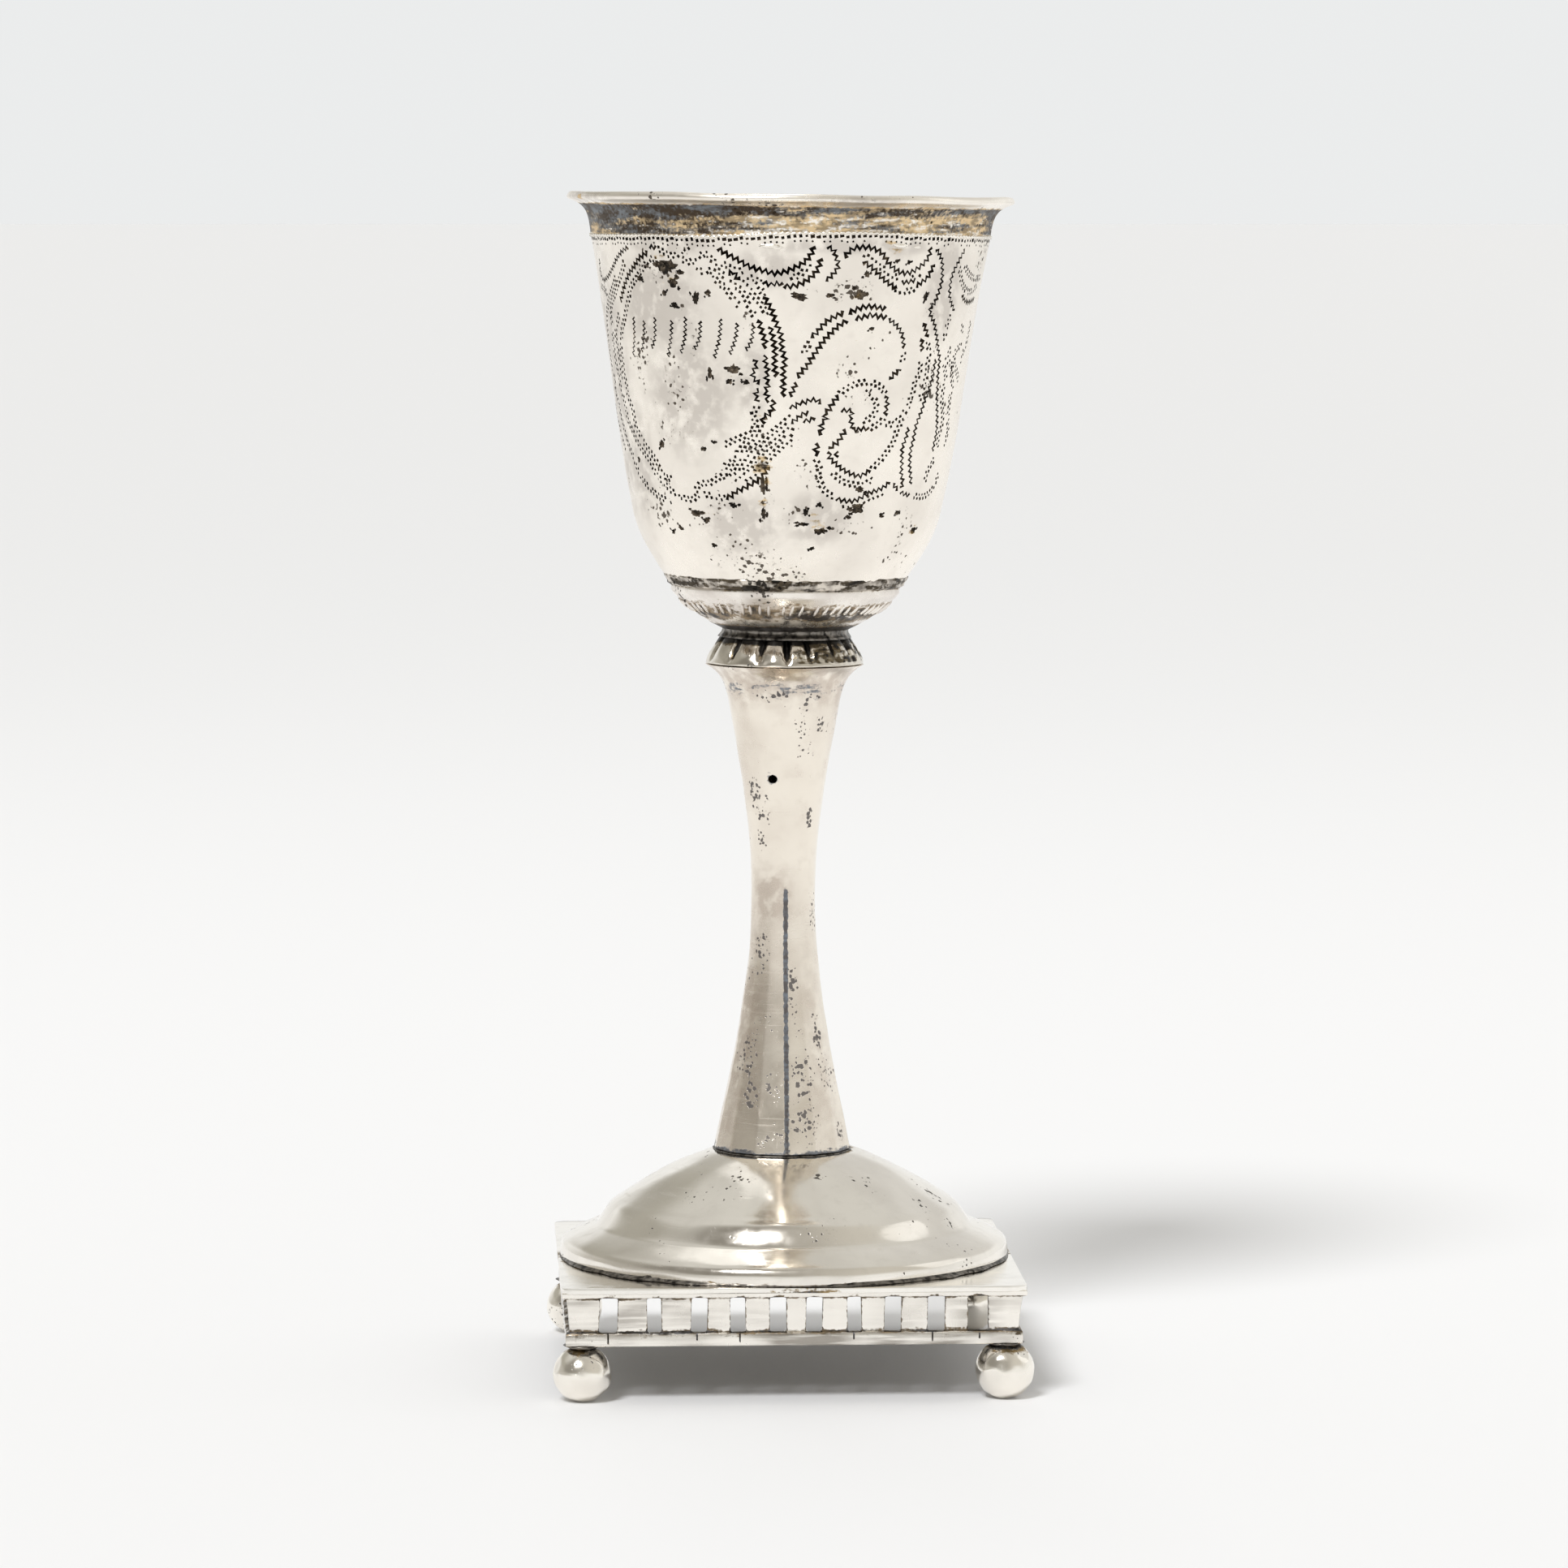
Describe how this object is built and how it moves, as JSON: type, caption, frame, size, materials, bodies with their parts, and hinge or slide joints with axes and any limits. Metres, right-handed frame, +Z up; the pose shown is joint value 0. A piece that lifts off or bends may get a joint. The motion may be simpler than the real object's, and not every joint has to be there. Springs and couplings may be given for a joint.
{
  "type": "chalice",
  "caption": "Small silver chalice: flared bowl on a saucer, lobed collar, trumpet stem and round dome, on a square pierced base with ball feet.",
  "frame": {"origin": "on the ground under the middle of the square base", "axes": "+Z up from the feet to the bowl; the front, with the stem's vent hole, looks towards -Y"},
  "size_m": [0.0604, 0.0604, 0.1506],
  "materials": {
    "cast_silver": "hammered cast silver, worn bright, black solder at the neck",
    "gallery_silver": "filed silver wire, tarnish along its rails",
    "plate_silver": "polished silver sheet with fine scratches",
    "dome_silver": "polished raised silver with small pits",
    "stem_silver": "hammered and polished silver with a dark seam and pits",
    "collar_silver": "glossy lobes with black grooves",
    "saucer_silver": "worn silver, tarnished at its edges",
    "bowl_silver": "satin silver with wriggle engraving, pits and a tarnished band under the lip"
  },
  "bodies": {
    "root": {"foot_ball_front_left": "cast_silver", "foot_ball_front_right": "cast_silver", "foot_ball_back_right": "cast_silver", "foot_ball_back_left": "cast_silver", "gallery_front": "gallery_silver", "gallery_right": "gallery_silver", "gallery_back": "gallery_silver", "gallery_left": "gallery_silver", "base_plate": "plate_silver", "foot_dome": "dome_silver", "stem": "stem_silver", "collar": "collar_silver", "saucer": "saucer_silver", "bowl": "bowl_silver"}
  },
  "joints": []
}
